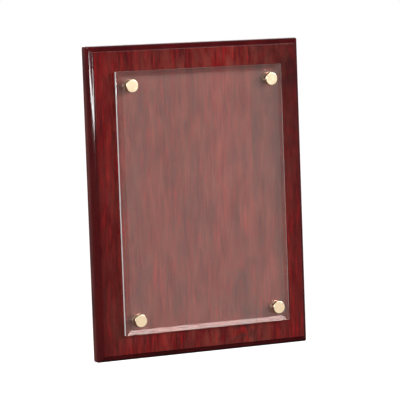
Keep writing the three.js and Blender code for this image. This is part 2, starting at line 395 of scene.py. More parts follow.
def roughen(tree, surface, height, depth):
    """Raises the surface by up to depth where the height is 1."""
    bump = add_node(tree, "Bump", {"Height": height, "Distance": depth, "Strength": 1.0})
    tree.links.new(bump.outputs["Normal"], surface.inputs["Normal"])


def put_lacquer_on(tree, surface, colour, grain):
    """Sprays the lacquer over a stained colour; grain is what telegraphs through it."""
    film = add_node(
        tree,
        "Group",
        {"Colour": colour, "Worn Edge": worn_edge(tree), "Grain": grain},
        node_tree=lacquer,
    )
    tree.links.new(film.outputs["Colour"], surface.inputs["Base Color"])
    tree.links.new(film.outputs["Roughness"], surface.inputs["Roughness"])
    roughen(tree, surface, film.outputs["Height"], depth=0.02 * MM)


stained_core, tree, surface = new_material("stained_core", IOR=1.5)
here = add_node(tree, "TexCoord").outputs["Object"]
fibres = noise(tree, here, (700, 700, 700), detail=4, roughness=0.7)
clouds = noise(tree, here, (30, 60, 12), detail=3, bend=0.6)
stain = calculate(tree, "MULTIPLY", fibres, clouds)
core_colour = colours(
    tree,
    stain,
    (0.12, 0.045, 0.0026, 0.0040),
    (0.26, 0.080, 0.0038, 0.0056),
    (0.42, 0.120, 0.0070, 0.0090),
)
put_lacquer_on(tree, surface, core_colour, fibres)

# ---- The board's core ------------------------------------------------------------------
# 14 mm fibreboard. It is drilled for the four standoff screws and counterbored for their
# heads, and the back is routed for two keyhole plates, so it hangs upright or sideways.

standoff_box = {
    corner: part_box("spacer_" + corner)
    for corner in ("top_left", "top_right", "bottom_left", "bottom_right")
}
standoff_at = {
    corner: Vector(((low.x + high.x) / 2, 0, (low.z + high.z) / 2))
    for corner, (low, high) in standoff_box.items()
}
hanger_box = {side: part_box("hanger_plate_" + side) for side in ("top", "side")}
hanger_at = {
    side: Vector(((low.x + high.x) / 2, 0, (low.z + high.z) / 2))
    for side, (low, high) in hanger_box.items()
}
hanger_turn = {"top": 0, "side": radians(90)}

SCREW_HOLE = 2.25 * MM
COUNTERBORE = 5 * MM
COUNTERBORE_DEPTH = 7.5 * MM
RECESS_CLEARANCE = 0.3 * MM
POCKET_WIDTH, POCKET_LENGTH, POCKET_DEPTH = 13 * MM, 27 * MM, 9 * MM
PILOT_RADIUS, PILOT_DEPTH = 1.6 * MM, 10.4 * MM
HANGER_SCREW_REACH = 18 * MM
PLATE_WIDTH, PLATE_LENGTH, PLATE_CORNER = 16 * MM, 46 * MM, 4 * MM
OVERCUT = 2 * MM


def add_disc(name, centre, radius, front, back, sides=64):
    """A short cylinder along Y from front to back, round that centre."""
    bpy.ops.object.select_all(action="DESELECT")
    bpy.ops.mesh.primitive_cylinder_add(
        vertices=sides,
        radius=radius,
        depth=back - front,
        location=(centre.x, (front + back) / 2, centre.z),
        rotation=(pi / 2, 0, 0),
    )
    disc = bpy.context.object
    disc.name = name
    bpy.ops.object.transform_apply(location=True, rotation=True, scale=True)
    return disc


def turn_round(piece, centre, angle):
    """Turns the piece's mesh about the line through the centre that runs along Y."""
    there = Matrix.Translation(centre)
    piece.data.transform(there @ Matrix.Rotation(angle, 4, "Y") @ there.inverted())


def add_rounded_bar(name, centre, width, length, front, back, corner, angle=0):
    """A flat bar, length along Z before it is turned, with rounded corners."""
    half = Vector((width / 2, 0, length / 2))
    low, high = centre - half, centre + half
    bar = add_block(name, (low.x, front, low.z), (high.x, back, high.z), corner)
    turn_round(bar, centre, angle)
    return bar


def along_plate(side, distance):
    """That far along a hanger plate, from the keyhole's entry towards its neck."""
    return Matrix.Rotation(hanger_turn[side], 3, "Y") @ Vector((0, 0, distance))


def hanger_screw_places(side):
    """The two screws' places in a hanger plate, the one at the entry's end first."""
    reach = along_plate(side, HANGER_SCREW_REACH)
    return {"lower": hanger_at[side] - reach, "upper": hanger_at[side] + reach}


def cut_standoff_holes(piece):
    for corner, place in standoff_at.items():
        drill = add_disc("drill", place, SCREW_HOLE, face_y - OVERCUT, OVERCUT, 48)
        cut(piece, drill)


def cut_counterbores_and_recesses(piece):
    plate_thickness = -hanger_box["top"][0].y
    for place in standoff_at.values():
        cut(piece, add_disc("drill", place, COUNTERBORE, -COUNTERBORE_DEPTH, OVERCUT))
    for side, place in hanger_at.items():
        recess = add_rounded_bar(
            "router",
            place,
            PLATE_WIDTH + 2 * RECESS_CLEARANCE,
            PLATE_LENGTH + 2 * RECESS_CLEARANCE,
            -plate_thickness,
            OVERCUT,
            PLATE_CORNER,
            hanger_turn[side],
        )
        cut(piece, recess)


board_core = copy_of(moulded_core, "moulded_board_core")
bpy.data.objects.remove(moulded_core)
cut_standoff_holes(board_core)
cut_counterbores_and_recesses(board_core)
for side, place in hanger_at.items():
    pocket = add_rounded_bar(
        "router",
        place,
        POCKET_WIDTH,
        POCKET_LENGTH,
        -POCKET_DEPTH,
        OVERCUT,
        POCKET_WIDTH / 3,
        hanger_turn[side],
    )
    cut(board_core, pocket)
    for pilot in hanger_screw_places(side).values():
        cut(board_core, add_disc("drill", pilot, PILOT_RADIUS, -PILOT_DEPTH, OVERCUT, 24))
finish(board_core, stained_core)
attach(board_core, "plaque")
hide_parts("board_core")

# ---- The face veneer -------------------------------------------------------------------
# Two leaves of 0.6 mm rosewood, glued side by side to the core before the edge is moulded.
# The main leaf is straight grained and turns to figure low on its right; the side leaf is
# burry at its top and straightens downwards.

rosewood, given, result = new_group(
    "rosewood_figure",
    [
        ("Shift", "Vector", None),
        ("Burr", "Float", 0.0),
        ("Glow", "Float", 0.5),
        ("Bands", "Float", 0.5),
    ],
    [("Colour", "Color"), ("Grain", "Float")],
)
here = add_node(rosewood, "TexCoord").outputs["Object"]
moved = add_node(
    rosewood, "VectorMath", {0: here, 1: given["Shift"]}, operation="ADD"
).outputs[0]
sway = noise(rosewood, moved, (6, 6, 3.5), detail=2)
sway = calculate(rosewood, "MULTIPLY", calculate(rosewood, "SUBTRACT", sway, 0.5), 0.010)
swayed = add_node(rosewood, "CombineXYZ", {"X": sway}).outputs[0]
along = add_node(rosewood, "VectorMath", {0: moved, 1: swayed}, operation="ADD").outputs[0]
bands = noise(rosewood, along, (34, 34, 1.4), detail=3, roughness=0.5)
patches = noise(rosewood, along, (70, 70, 9), detail=4, roughness=0.6)
stripes = noise(rosewood, along, (560, 560, 42), detail=2, roughness=0.6)
hairs = noise(rosewood, along, (1300, 1300, 45), detail=3, roughness=0.6)
pores = noise(rosewood, along, (2600, 2600, 130), detail=1)
pores = remap(rosewood, pores, 0.62, 0.72)
curls = noise(rosewood, moved, (60, 60, 44), detail=5, roughness=0.6, bend=1.6)
eyes = noise(rosewood, moved, (420, 420, 190), detail=3, roughness=0.6, bend=0.8)
burr = weigh(rosewood, (curls, 0.55), (eyes, 0.45))
straight = weigh(rosewood, (stripes, 0.65), (hairs, 0.35))
straight = weigh(rosewood, (straight, 0.85), (patches, 0.15))
figure = add_node(
    rosewood, "Mix", {0: given["Burr"], 2: straight, 3: burr}, data_type="FLOAT"
).outputs[0]
fine = colours(
    rosewood,
    figure,
    (0.34, 0.050, 0.0018, 0.0030),
    (0.45, 0.100, 0.0026, 0.0044),
    (0.54, 0.165, 0.0028, 0.0048),
    (0.64, 0.330, 0.0050, 0.0080),
)
smoky = remap(rosewood, weigh(rosewood, (bands, 0.6), (patches, 0.4)), 0.49, 0.62)
banded = mix(
    rosewood,
    calculate(rosewood, "MULTIPLY", smoky, given["Bands"]),
    fine,
    (0.066, 0.0080, 0.0084, 1),
)
glowing = remap(rosewood, weigh(rosewood, (bands, 0.5), (hairs, 0.5)), 0.47, 0.36)
reddened = mix(
    rosewood,
    calculate(rosewood, "MULTIPLY", glowing, given["Glow"]),
    banded,
    (0.280, 0.0060, 0.0090, 1),
)
clouded = remap(rosewood, curls, 0.58, 0.44, 0, 0.75)
darkened = mix(
    rosewood,
    calculate(rosewood, "MULTIPLY", given["Burr"], clouded),
    reddened,
    (0.040, 0.0080, 0.0085, 1),
)
with_pores = mix(
    rosewood,
    calculate(rosewood, "MULTIPLY", pores, 0.5),
    darkened,
    (0.022, 0.003, 0.004, 1),
)
rosewood.links.new(with_pores, result["Colour"])
rosewood.links.new(calculate(rosewood, "SUBTRACT", hairs, pores), result["Grain"])


def add_leaf(name, node, keep_point, keep_direction):
    """One leaf of the veneer, cut from the moulded blank, with its screw holes."""
    leaf = copy_of(board_blank, name)
    keep_beyond(leaf, (0, glue_y, 0), (0, -1, 0))
    keep_beyond(leaf, keep_point, keep_direction)
    for place in standoff_at.values():
        if (place - Vector(keep_point)).dot(keep_direction) > 0:
            cut(leaf, add_disc("drill", place, SCREW_HOLE, face_y - OVERCUT, OVERCUT, 48))
    finish_shape(leaf)
    mark_worn_edges(leaf)
    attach(leaf, "plaque")
    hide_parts(node)
    return leaf


main_leaf = add_leaf("veneer_main_leaf", "veneer_main", (seam_x, 0, 0), (-1, 0, 0))
side_leaf = add_leaf("veneer_side_leaf", "veneer_side", (seam_x, 0, 0), (1, 0, 0))
bpy.data.objects.remove(board_blank)

main_wood, tree, surface = new_material("rosewood_main", Specular_IOR_Level=0.14)
here = add_node(tree, "TexCoord").outputs["Object"]
x, _, z = add_node(tree, "SeparateXYZ", {0: here}).outputs
low_right = calculate(tree, "MULTIPLY", remap(tree, z, -0.02, -0.12), remap(tree, x, 0.0, 0.05))
wood = add_node(
    tree,
    "Group",
    {
        "Shift": (0.4, 0.0, 0.2),
        "Burr": low_right,
        "Glow": remap(tree, x, -0.06, 0.05, 0.35, 1.0),
        "Bands": calculate(
            tree,
            "MULTIPLY",
            remap(tree, z, -0.1, 0.1, 0.3, 0.75),
            remap(tree, x, 0.0, 0.035, 1.0, 0.1),
        ),
    },
    node_tree=rosewood,
)
# Painted shade, not the wood's own tone: the leaf is darkened towards its lower left, from under
# the glass's left edge out to the moulding.
painted_shade_mask = calculate(
    tree, "MULTIPLY", remap(tree, z, 0.04, -0.08), remap(tree, x, -0.085, -0.097, 0.0, 0.4)
)
with_painted_shade = mix(tree, painted_shade_mask, wood.outputs["Colour"], (0.045, 0.0018, 0.0028, 1))
put_lacquer_on(tree, surface, with_painted_shade, wood.outputs["Grain"])
coat(main_leaf, main_wood)

side_wood, tree, surface = new_material("rosewood_side", Specular_IOR_Level=0.14)
here = add_node(tree, "TexCoord").outputs["Object"]
x, _, z = add_node(tree, "SeparateXYZ", {0: here}).outputs
knot = add_node(tree, "Mapping", {"Vector": here, "Location": (-0.098, 0, -0.118)}).outputs[0]
from_knot = add_node(tree, "VectorMath", {0: knot}, operation="LENGTH").outputs["Value"]
ring = calculate(
    tree, "MULTIPLY", remap(tree, from_knot, 0.012, 0.016), remap(tree, from_knot, 0.024, 0.019)
)
wood = add_node(
    tree,
    "Group",
    {
        "Shift": (1.7, 0.0, 0.6),
        "Burr": remap(tree, z, -0.02, 0.08, 0.1, 0.75),
        "Glow": remap(tree, z, 0.05, -0.1, 0.0, 0.9),
        "Bands": remap(tree, z, -0.1, 0.1, 0.3, 0.6),
    },
    node_tree=rosewood,
)
calmed = mix(
    tree, remap(tree, z, -0.05, 0.06, 0.0, 0.6), wood.outputs["Colour"], (0.070, 0.0026, 0.0048, 1)
)
ringed = mix(tree, calculate(tree, "MULTIPLY", ring, 0.55), calmed, (0.03, 0.003, 0.005, 1))
put_lacquer_on(tree, surface, ringed, wood.outputs["Grain"])
coat(side_leaf, side_wood)

# ---- The back sheet --------------------------------------------------------------------
# A 0.4 mm dark phenolic sheet that balances the veneer, so that the board stays flat. It
# stops 1 mm short of the board's sides and is cut through with the counterbores and recesses.

sheet_low, sheet_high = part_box("back_sheet")
back_sheet = add_block("balancing_sheet", sheet_low, sheet_high, CORNER_ROUND)
cut_counterbores_and_recesses(back_sheet)
finish_shape(back_sheet, break_edges=0.08 * MM)
mark_worn_edges(back_sheet)

paper, tree, surface = new_material("back_sheet", IOR=1.5)
here = add_node(tree, "TexCoord").outputs["Object"]
felt = noise(tree, here, (1500, 1500, 1500), detail=3, roughness=0.7)
mottling = noise(tree, here, (45, 45, 30), detail=5, roughness=0.6)
rubs = noise(tree, here, (160, 160, 25), detail=3, roughness=0.6, bend=0.4)
sheet_colour = colours(
    tree,
    weigh(tree, (felt, 0.5), (mottling, 0.5)),
    (0.35, 0.010, 0.0080, 0.0075),
    (0.52, 0.017, 0.0130, 0.0120),
    (0.68, 0.030, 0.0240, 0.0220),
)
scuffs = calculate(tree, "MAXIMUM", remap(tree, rubs, 0.62, 0.74), worn_edge(tree))
scuffs = calculate(tree, "MULTIPLY", scuffs, 0.35)
scuffed_colour = mix(tree, scuffs, sheet_colour, (0.07, 0.055, 0.05, 1))
tree.links.new(scuffed_colour, surface.inputs["Base Color"])
tree.links.new(remap(tree, mottling, 0.3, 0.7, 0.42, 0.62), surface.inputs["Roughness"])
roughen(tree, surface, felt, depth=0.03 * MM)
back_sheet.data.materials.append(paper)
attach(back_sheet, "plaque")
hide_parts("back_sheet")

# ---- The keyhole plates and their screws -----------------------------------------------
# Blanked 1.5 mm steel plates, zinc plated, let in flush. The screw's head in the wall goes
# through the round entry and its shank up the neck. Each is held by two yellow-zinc
# countersunk wood screws with a cross recess.

KEYHOLE_ENTRY = 4.75 * MM
KEYHOLE_NECK = 2.5 * MM
KEYHOLE_TRAVEL = 11 * MM
SCREW_HEAD, SCREW_SHANK = 2.7 * MM, 1.4 * MM
SCREW_LENGTH = 10 * MM
COUNTERSINK_DEPTH = SCREW_HEAD - SCREW_SHANK
SCREW_HOLE_CLEARANCE = 0.2 * MM


def narrow_end(piece, y, factor, centre):
    """Draws the ring of vertices at that y in or out, round the centre."""
    for vertex in piece.data.vertices:
        if abs(vertex.co.y - y) < 0.01 * MM:
            vertex.co.x = centre.x + (vertex.co.x - centre.x) * factor
            vertex.co.z = centre.z + (vertex.co.z - centre.z) * factor


def add_cross_cutter(centre, width, thickness, front, back, taper=0.55):
    """The driver's shape: two crossed bars that taper to the bottom of the recess."""
    bars = []
    for along_x in (width, thickness):
        across = thickness if along_x == width else width
        half = Vector((along_x / 2, 0, across / 2))
        low, high = centre - half, centre + half
        bar = add_block("driver", (low.x, front, low.z), (high.x, back, high.z))
        bars.append(bar)
    apply_modifier(bars[0], "BOOLEAN", object=bars[1], operation="UNION", solver="EXACT")
    bpy.data.objects.remove(bars[1])
    narrow_end(bars[0], front, taper, centre)
    return bars[0]


def draw_out(centre, y, distance, factor=1):
    """Draws the selected end forwards from that y and resizes it; gives its new y."""
    bpy.ops.mesh.extrude_region_move(TRANSFORM_OT_translate={"value": (0, -distance, 0)})
    y -= distance
    bpy.ops.transform.resize(
        value=(factor, 1, factor), center_override=(centre.x, y, centre.z)
    )
    return y


def add_wood_screw(name, centre):
    """A countersunk screw, head towards the back, its shank threaded to a point."""
    screw = add_disc(name, centre, SCREW_HEAD, -COUNTERSINK_DEPTH, 0, 32)
    narrow_end(screw, -COUNTERSINK_DEPTH, SCREW_SHANK / SCREW_HEAD, centre)
    plain, pitch, threads = 1.2 * MM, 1.1 * MM, 6
    root, point = 0.74, 0.15  # each as a share of the shank's width
    with edit_mode(screw) as mesh:
        select(mesh, "faces", lambda face: face.normal.y < -0.9)
        y = draw_out(centre, -COUNTERSINK_DEPTH, plain)
        for _ in range(threads):
            y = draw_out(centre, y, pitch * 0.3, root)
            y = draw_out(centre, y, pitch * 0.25)
            y = draw_out(centre, y, pitch * 0.3, 1 / root)
            y = draw_out(centre, y, pitch * 0.15)
        draw_out(centre, y, SCREW_LENGTH + y, point)
    driver = add_cross_cutter(
        centre, width=2.4 * MM, thickness=0.6 * MM, front=-0.9 * MM, back=OVERCUT
    )
    cut(screw, driver)
    return screw


metal_wear, given, result = new_group(
    "metal_wear",
    [
        ("Colour", "Color", None),
        ("Bright", "Color", None),
        ("Dull", "Color", None),
        ("Worn Edge", "Float", 0.0),
        ("Roughness", "Float", 0.3),
    ],
    [("Colour", "Color"), ("Roughness", "Float"), ("Height", "Float")],
)
here = add_node(metal_wear, "TexCoord").outputs["Object"]
blotches = noise(metal_wear, here, (130, 130, 130), detail=4, roughness=0.6)
grit = noise(metal_wear, here, (1900, 1900, 1900), detail=2)
smears = noise(metal_wear, here, (420, 420, 150), detail=4, roughness=0.65, bend=0.4)
tarnish = remap(metal_wear, blotches, 0.5, 0.72, 0, 0.6)
dulled = mix(metal_wear, tarnish, given["Colour"], given["Dull"])
handling = remap(metal_wear, smears, 0.3, 0.6, 0.2, 0.8)
polished = calculate(metal_wear, "MULTIPLY", given["Worn Edge"], handling)
worn = mix(metal_wear, polished, dulled, given["Bright"])
metal_wear.links.new(worn, result["Colour"])
smeared = remap(metal_wear, smears, 0.3, 0.7, -0.05, 0.09)
rough = weigh(metal_wear, (given["Roughness"], 1), (smeared, 1), (polished, -0.08))
metal_wear.links.new(rough, result["Roughness"])
metal_wear.links.new(weigh(metal_wear, (grit, 0.5), (smears, 0.5)), result["Height"])


def new_metal(name, colour, bright, dull, roughness):
    material, tree, surface = new_material(name, Metallic=1.0)
    wear = add_node(
        tree,
        "Group",
        {
            "Colour": (*colour, 1),
            "Bright": (*bright, 1),
            "Dull": (*dull, 1),
            "Worn Edge": worn_edge(tree),
            "Roughness": roughness,
        },
        node_tree=metal_wear,
    )
    tree.links.new(wear.outputs["Colour"], surface.inputs["Base Color"])
    tree.links.new(wear.outputs["Roughness"], surface.inputs["Roughness"])
    roughen(tree, surface, wear.outputs["Height"], depth=0.008 * MM)
    return material


hanger_steel = new_metal(
    "hanger_steel", (0.50, 0.51, 0.53), (0.72, 0.72, 0.73), (0.30, 0.30, 0.31), 0.34
)
yellow_zinc = new_metal(
    "yellow_zinc", (0.62, 0.50, 0.26), (0.78, 0.74, 0.62), (0.42, 0.36, 0.26), 0.30
)


plate_front = hanger_box["top"][0].y
for side, place in hanger_at.items():
    plate = add_rounded_bar(
        "keyhole_plate_" + side,
        place,
        PLATE_WIDTH,
        PLATE_LENGTH,
        plate_front,
        0,
        PLATE_CORNER,
        hanger_turn[side],
    )
    entry_at = place - along_plate(side, KEYHOLE_TRAVEL / 2)
    neck_at = place + along_plate(side, KEYHOLE_TRAVEL / 2)
    below, above = plate_front - OVERCUT, OVERCUT
    cut(plate, add_disc("punch", entry_at, KEYHOLE_ENTRY, below, above, 48))
    cut(plate, add_disc("punch", neck_at, KEYHOLE_NECK, below, above, 32))
    neck = add_rounded_bar(
        "punch", place, 2 * KEYHOLE_NECK, KEYHOLE_TRAVEL, below, above, 0, hanger_turn[side]
    )
    cut(plate, neck)
    head_hole = SCREW_HEAD + SCREW_HOLE_CLEARANCE
    shank_hole = SCREW_SHANK + SCREW_HOLE_CLEARANCE
    for screw_at in hanger_screw_places(side).values():
        countersink = add_disc("drill", screw_at, head_hole, -COUNTERSINK_DEPTH, 0.2 * MM, 32)
        narrow_end(countersink, -COUNTERSINK_DEPTH, shank_hole / head_hole, screw_at)
        cut(plate, countersink)
        cut(plate, add_disc("drill", screw_at, shank_hole, below, above, 32))
    finish(plate, hanger_steel, break_edges=0.12 * MM)
    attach(plate, "plaque")
    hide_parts("hanger_plate_" + side)

first_screw = None
for side in hanger_at:
    for end, screw_at in hanger_screw_places(side).items():
        name = f"hanger_wood_screw_{side}_{end}"
        if first_screw is None:
            first_screw = add_wood_screw(name, screw_at)
            first_at = screw_at
            finish(first_screw, yellow_zinc, break_edges=0.06 * MM)
            screw = first_screw
        else:
            screw = copy_of(first_screw, name, screw_at - first_at)
        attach(screw, "plaque")
        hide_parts(f"hanger_screw_{side}_{end}")

# ---- The machine screws and their washers ----------------------------------------------
# M4 x 20 pan-head screws with a cross recess, zinc plated, pushed through the board from
# behind; the shank stands out of the face and carries the spacer, the glass and the cap.

screw_low, screw_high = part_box("screw_top_left")
PAN_RADIUS, PAN_HEIGHT, PAN_ROUND = 4 * MM, 2.4 * MM, 0.9 * MM
BOLT_RADIUS, BOLT_TIP, PLAIN_SHANK = 2 * MM, 0.5 * MM, 4 * MM
THREAD_PITCH, THREAD_DEPTH = 0.7 * MM, 0.28 * MM
WASHER_OUTER = 4.5 * MM


def round_rim(piece, centre, radius, y, amount, segments=4):
    """Rounds the rim of that radius at that y."""
    with edit_mode(piece) as mesh:

        def on_rim(vertex):
            off_axis = Vector((vertex.co.x - centre.x, vertex.co.z - centre.z)).length
            return abs(vertex.co.y - y) < 0.02 * MM and abs(off_axis - radius) < 0.02 * MM

        select(mesh, "edges", lambda edge: on_rim(edge.verts[0]) and on_rim(edge.verts[1]))
        bpy.ops.mesh.bevel(offset=amount, segments=segments, affect="EDGES")


def map_about_axis(piece, centre):
    """Lays the piece's map flat round its own axis, so that turning marks are circles."""
    layer = piece.data.uv_layers.new(name="about_axis")
    for loop in piece.data.loops:
        place = piece.data.vertices[loop.vertex_index].co - centre
        layer.data[loop.index].uv = (place.x, place.z)


def add_machine_screw(name, centre):
    head_front = screw_high.y - PAN_HEIGHT
    screw = add_disc(name, centre, PAN_RADIUS, head_front, screw_high.y, 48)
    round_rim(screw, centre, PAN_RADIUS, screw_high.y, PAN_ROUND)
    root = (BOLT_RADIUS - THREAD_DEPTH) / BOLT_RADIUS
    tip = (BOLT_RADIUS - BOLT_TIP) / BOLT_RADIUS
    with edit_mode(screw) as mesh:
        select(mesh, "faces", lambda face: face.normal.y < -0.9)
        bpy.ops.mesh.inset(thickness=PAN_RADIUS - BOLT_RADIUS)
        y = draw_out(centre, head_front, PLAIN_SHANK)
        turns = int((y - screw_low.y - BOLT_TIP) / THREAD_PITCH)
        for _ in range(turns):
            y = draw_out(centre, y, THREAD_PITCH * 0.4, root)
            y = draw_out(centre, y, THREAD_PITCH * 0.1)
            y = draw_out(centre, y, THREAD_PITCH * 0.4, 1 / root)
            y = draw_out(centre, y, THREAD_PITCH * 0.1)
        draw_out(centre, y, y - screw_low.y, tip)
    driver = add_cross_cutter(
        centre,
        width=3.6 * MM,
        thickness=0.8 * MM,
        front=screw_high.y - 1.5 * MM,
        back=screw_high.y + OVERCUT,
    )
    cut(screw, driver)
    return screw


def add_ring(name, centre, inner, outer, front, back, sides=64):
    ring = add_disc(name, centre, outer, front, back, sides)
    cut(ring, add_disc("bore", centre, inner, front - OVERCUT, back + OVERCUT, sides))
    return ring


def at_every_standoff(first, node, name, body="plaque"):
    """Copies the top left piece to the other corners, and gives all four their bodies."""
    start = standoff_at["top_left"]
    pieces = {"top_left": first}
    for corner in ("top_right", "bottom_left", "bottom_right"):
        pieces[corner] = copy_of(first, f"{name}_{corner}", standoff_at[corner] - start)
    for corner, piece in pieces.items():
        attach(piece, body.format(corner=corner))
        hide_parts(f"{node}_{corner}")


zinc_steel = new_metal(
    "zinc_steel", (0.56, 0.58, 0.61), (0.80, 0.80, 0.81), (0.34, 0.35, 0.37), 0.27
)

first_corner = standoff_at["top_left"]
machine_screw = add_machine_screw("machine_screw_top_left", first_corner)
finish(machine_screw, zinc_steel)
at_every_standoff(machine_screw, "screw", "machine_screw")

washer_low, washer_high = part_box("screw_washer_top_left")
steel_washer = add_ring(
    "steel_washer_top_left",
    first_corner,
    SCREW_HOLE,
    WASHER_OUTER,
    washer_low.y,
    washer_high.y,
)
finish(steel_washer, zinc_steel, break_edges=0.1 * MM)
at_every_standoff(steel_washer, "screw_washer", "steel_washer")

# ---- The spacers -----------------------------------------------------------------------
# Turned brass collars, 12.7 mm across and 3 mm thick, satin polished and clear lacquered,
# that hold the glass off the board.

STANDOFF_RADIUS = 6.35 * MM
EDGE_BREAK = 0.3 * MM
CAP_CHAMFER = 0.6 * MM

brass, tree, surface = new_material("satin_brass", Metallic=1.0)
around = add_node(tree, "UVMap", uv_map="about_axis").outputs["UV"]
off_axis = add_node(tree, "VectorMath", {0: around}, operation="LENGTH").outputs["Value"]
at_radius = add_node(tree, "CombineXYZ", {"X": off_axis}).outputs[0]
turning = noise(tree, at_radius, (5200, 1, 1), detail=4, roughness=0.75)
wear = add_node(
    tree,
    "Group",
    {
        "Colour": (0.99, 0.91, 0.66, 1),
        "Bright": (1.0, 0.93, 0.75, 1),
        "Dull": (0.93, 0.80, 0.52, 1),
        "Worn Edge": worn_edge(tree),
        "Roughness": 0.17,
    },
    node_tree=metal_wear,
)
brass_colour = mix(
    tree, remap(tree, turning, 0.35, 0.65, 0, 0.25), wear.outputs["Colour"], (0.93, 0.79, 0.51, 1)
)
tree.links.new(brass_colour, surface.inputs["Base Color"])
turned = remap(tree, turning, 0.3, 0.7, -0.04, 0.05)
brass_rough = calculate(tree, "ADD", wear.outputs["Roughness"], turned)
tree.links.new(brass_rough, surface.inputs["Roughness"])
brass_height = weigh(tree, (turning, 1), (wear.outputs["Height"], 0.4))
roughen(tree, surface, brass_height, depth=0.004 * MM)

spacer_low, spacer_high = standoff_box["top_left"]
spacer = add_ring(
    "spacer_collar_top_left",
    first_corner,
    SCREW_HOLE,
    STANDOFF_RADIUS,
    spacer_low.y,
    spacer_high.y,
    96,
)
round_rim(spacer, first_corner, STANDOFF_RADIUS, spacer_low.y, EDGE_BREAK)
round_rim(spacer, first_corner, STANDOFF_RADIUS, spacer_high.y, EDGE_BREAK)
map_about_axis(spacer, first_corner)
finish(spacer, brass)
at_every_standoff(spacer, "spacer", "spacer_collar")

# ---- The clear washers and bushes ------------------------------------------------------
# Moulded clear nylon: a flat washer behind the glass, and a top-hat bush whose sleeve
# lines the hole and whose flange lies under the cap, so that no metal touches the glass.

clear_nylon, tree, surface = new_material(
    "clear_nylon", IOR=1.5, Transmission_Weight=0.85
)
here = add_node(tree, "TexCoord").outputs["Object"]
cloud = noise(tree, here, (700, 700, 700), detail=3)
flow = noise(tree, here, (2200, 2200, 2200), detail=2)
nylon_colour = colours(
    tree, cloud, (0.3, 0.80, 0.76, 0.68), (0.7, 0.93, 0.91, 0.86)
)
tree.links.new(nylon_colour, surface.inputs["Base Color"])
tree.links.new(remap(tree, cloud, 0.3, 0.7, 0.18, 0.3), surface.inputs["Roughness"])
roughen(tree, surface, flow, depth=0.006 * MM)

BUSH_BORE = 2.15 * MM
BUSH_SLEEVE = 3.2 * MM
BUSH_FLANGE = 5.5 * MM
FLANGE_THICKNESS = 0.4 * MM
rear_low, rear_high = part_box("rear_washer_top_left")
rear_washer = add_ring(
    "clear_washer_top_left", first_corner, SCREW_HOLE, BUSH_FLANGE, rear_low.y, rear_high.y
)
finish(rear_washer, clear_nylon, break_edges=0.06 * MM)
at_every_standoff(rear_washer, "rear_washer", "clear_washer")

bush_low, bush_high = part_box("bush_top_left")
flange_back = bush_low.y + FLANGE_THICKNESS
bush = add_disc("top_hat_bush_top_left", first_corner, BUSH_FLANGE, bush_low.y, flange_back)
with edit_mode(bush) as mesh:
    select(mesh, "faces", lambda face: face.normal.y > 0.9)
    bpy.ops.mesh.inset(thickness=BUSH_FLANGE - BUSH_SLEEVE)
    bpy.ops.mesh.extrude_region_move(
        TRANSFORM_OT_translate={"value": (0, bush_high.y - flange_back, 0)}
    )
bore = add_disc("bore", first_corner, BUSH_BORE, bush_low.y - OVERCUT, bush_high.y + OVERCUT)
cut(bush, bore)
finish(bush, clear_nylon, break_edges=0.06 * MM)
at_every_standoff(bush, "bush", "top_hat_bush")

# ---- The glass panel -------------------------------------------------------------------
# 5 mm float glass, 7 x 10 inches, with a 5.5 mm bevel ground and polished round its front,
# flat ground edges, and a 7 mm hole for each standoff. It has a faint warm tint that varies
# where it was wiped, and a few hairlines and specks.

BEVEL_WIDTH, BEVEL_DEPTH = 5.5 * MM, 2 * MM
GLASS_HOLE = 3.5 * MM
GLASS_ARRIS = 0.25 * MM
BENT_AWAY = 0.7  # the share of the light that the bevel keeps from the wood
glass_low, glass_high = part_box("glass_panel")
glass = add_block(
    "bevelled_glass",
    (glass_low.x, glass_low.y + BEVEL_DEPTH, glass_low.z),
    glass_high,
)
with edit_mode(glass) as mesh:
    select(mesh, "faces", lambda face: face.normal.y < -0.9)
    bpy.ops.mesh.inset(thickness=BEVEL_WIDTH, depth=BEVEL_DEPTH)
for place in standoff_at.values():
    drill = add_disc("drill", place, GLASS_HOLE, glass_low.y - OVERCUT, OVERCUT, 64)
    cut(glass, drill)
finish_shape(glass, break_edges=GLASS_ARRIS, smooth=15)
mark_worn_edges(glass)

clear_glass, tree, surface = new_material(
    "clear_glass", IOR=1.5, Transmission_Weight=0.95
)
here = add_node(tree, "TexCoord").outputs["Object"]
wiping = noise(tree, here, (30, 30, 14), detail=4, roughness=0.55, bend=0.8)
hairlines = noise(tree, here, (1400, 1400, 25), detail=2, bend=0.2)
specks = noise(tree, here, (1500, 1500, 1500), detail=1)
marks = calculate(
    tree,
    "MAXIMUM",
    remap(tree, hairlines, 0.76, 0.84, 0, 0.3),
    remap(tree, specks, 0.80, 0.86),
)
glass_colour = mix(
    tree, remap(tree, wiping, 0.35, 0.7), (1.0, 0.78, 0.73, 1), (1.0, 0.84, 0.80, 1)
)
tree.links.new(glass_colour, surface.inputs["Base Color"])
glass_rough = remap(tree, marks, 0.1, 0.9, 0.0, 0.12)
tree.links.new(glass_rough, surface.inputs["Roughness"])

# Light passes straight through the panel to the wood, but the bevel bends some of it away.
x, _, z = add_node(tree, "SeparateXYZ", {0: here}).outputs
from_middle = calculate(
    tree,
    "MAXIMUM",
    calculate(tree, "SUBTRACT", calculate(tree, "ABSOLUTE", x), glass_high.x),
    calculate(tree, "SUBTRACT", calculate(tree, "ABSOLUTE", z), glass_high.z),
)
on_bevel = calculate(tree, "GREATER_THAN", from_middle, -BEVEL_WIDTH)
light_path = add_node(tree, "LightPath").outputs
is_light = calculate(
    tree, "MAXIMUM", light_path["Is Shadow Ray"], light_path["Is Diffuse Ray"]
)
kept_by_bevel = calculate(tree, "MULTIPLY", on_bevel, BENT_AWAY)
lets_light_by = calculate(
    tree, "MULTIPLY", is_light, calculate(tree, "SUBTRACT", 1.0, kept_by_bevel)
)
passing = add_node(tree, "BsdfTransparent")
both = add_node(
    tree,
    "MixShader",
    {0: lets_light_by, 1: surface.outputs["BSDF"], 2: passing.outputs["BSDF"]},
)
